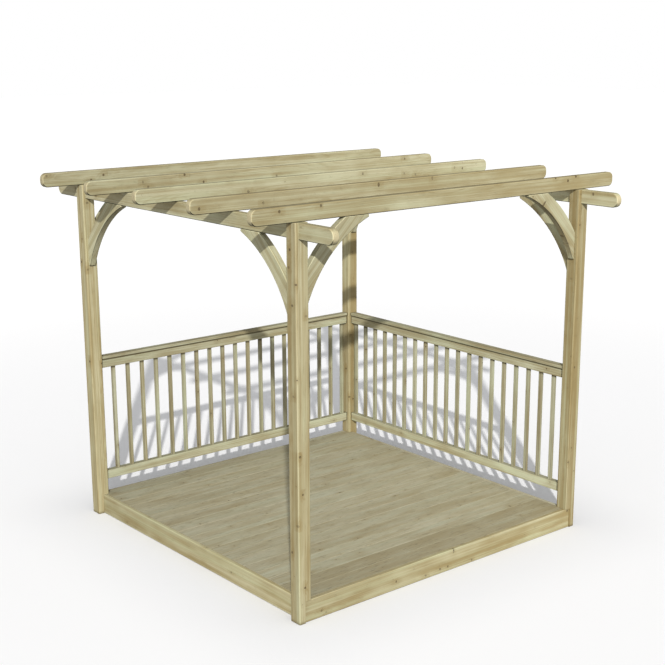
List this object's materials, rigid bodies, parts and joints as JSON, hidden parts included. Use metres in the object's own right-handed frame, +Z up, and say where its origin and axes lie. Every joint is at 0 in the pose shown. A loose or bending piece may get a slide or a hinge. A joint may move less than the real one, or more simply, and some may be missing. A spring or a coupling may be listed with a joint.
{
  "type": "pergola with decking",
  "caption": "Open square timber pergola with round-ended rafters and curved knee braces over a low deck, with slatted balustrades on two adjoining sides.",
  "frame": {"origin": "on the ground at the middle of the plan", "axes": "+X along the rafters towards the balustrade side, +Y along the beams towards the back balustrade, +Z up"},
  "size_m": [3.05, 3.09, 2.51],
  "materials": {
    "post_timber": "planed pressure-treated softwood",
    "frame_timber": "planed pressure-treated softwood",
    "fascia_timber": "planed pressure-treated softwood",
    "deck_timber": "sawn pressure-treated softwood",
    "rail_timber": "planed pressure-treated softwood"
  },
  "bodies": {
    "root": {"post_front_left": "post_timber", "post_front_right": "post_timber", "post_back_left": "post_timber", "post_back_right": "post_timber", "beam_left": "frame_timber", "beam_right": "frame_timber", "rafter_1": "frame_timber", "rafter_2": "frame_timber", "rafter_3": "frame_timber", "rafter_4": "frame_timber", "rafter_5": "frame_timber", "beam_brace_front_left": "frame_timber", "beam_brace_front_right": "frame_timber", "beam_brace_back_left": "frame_timber", "beam_brace_back_right": "frame_timber", "rafter_brace_front_left": "frame_timber", "rafter_brace_front_right": "frame_timber", "rafter_brace_back_left": "frame_timber", "rafter_brace_back_right": "frame_timber", "fascia_front": "fascia_timber", "fascia_back": "fascia_timber", "fascia_left": "fascia_timber", "fascia_right": "fascia_timber", "deck_joists": "deck_timber", "deck_boards": "deck_timber", "bottom_rail_back": "rail_timber", "bottom_rail_right": "rail_timber", "top_rail_back": "rail_timber", "top_rail_right": "rail_timber", "handrail_back": "rail_timber", "handrail_right": "rail_timber", "balusters_back": "rail_timber", "balusters_right": "rail_timber"}
  },
  "joints": []
}
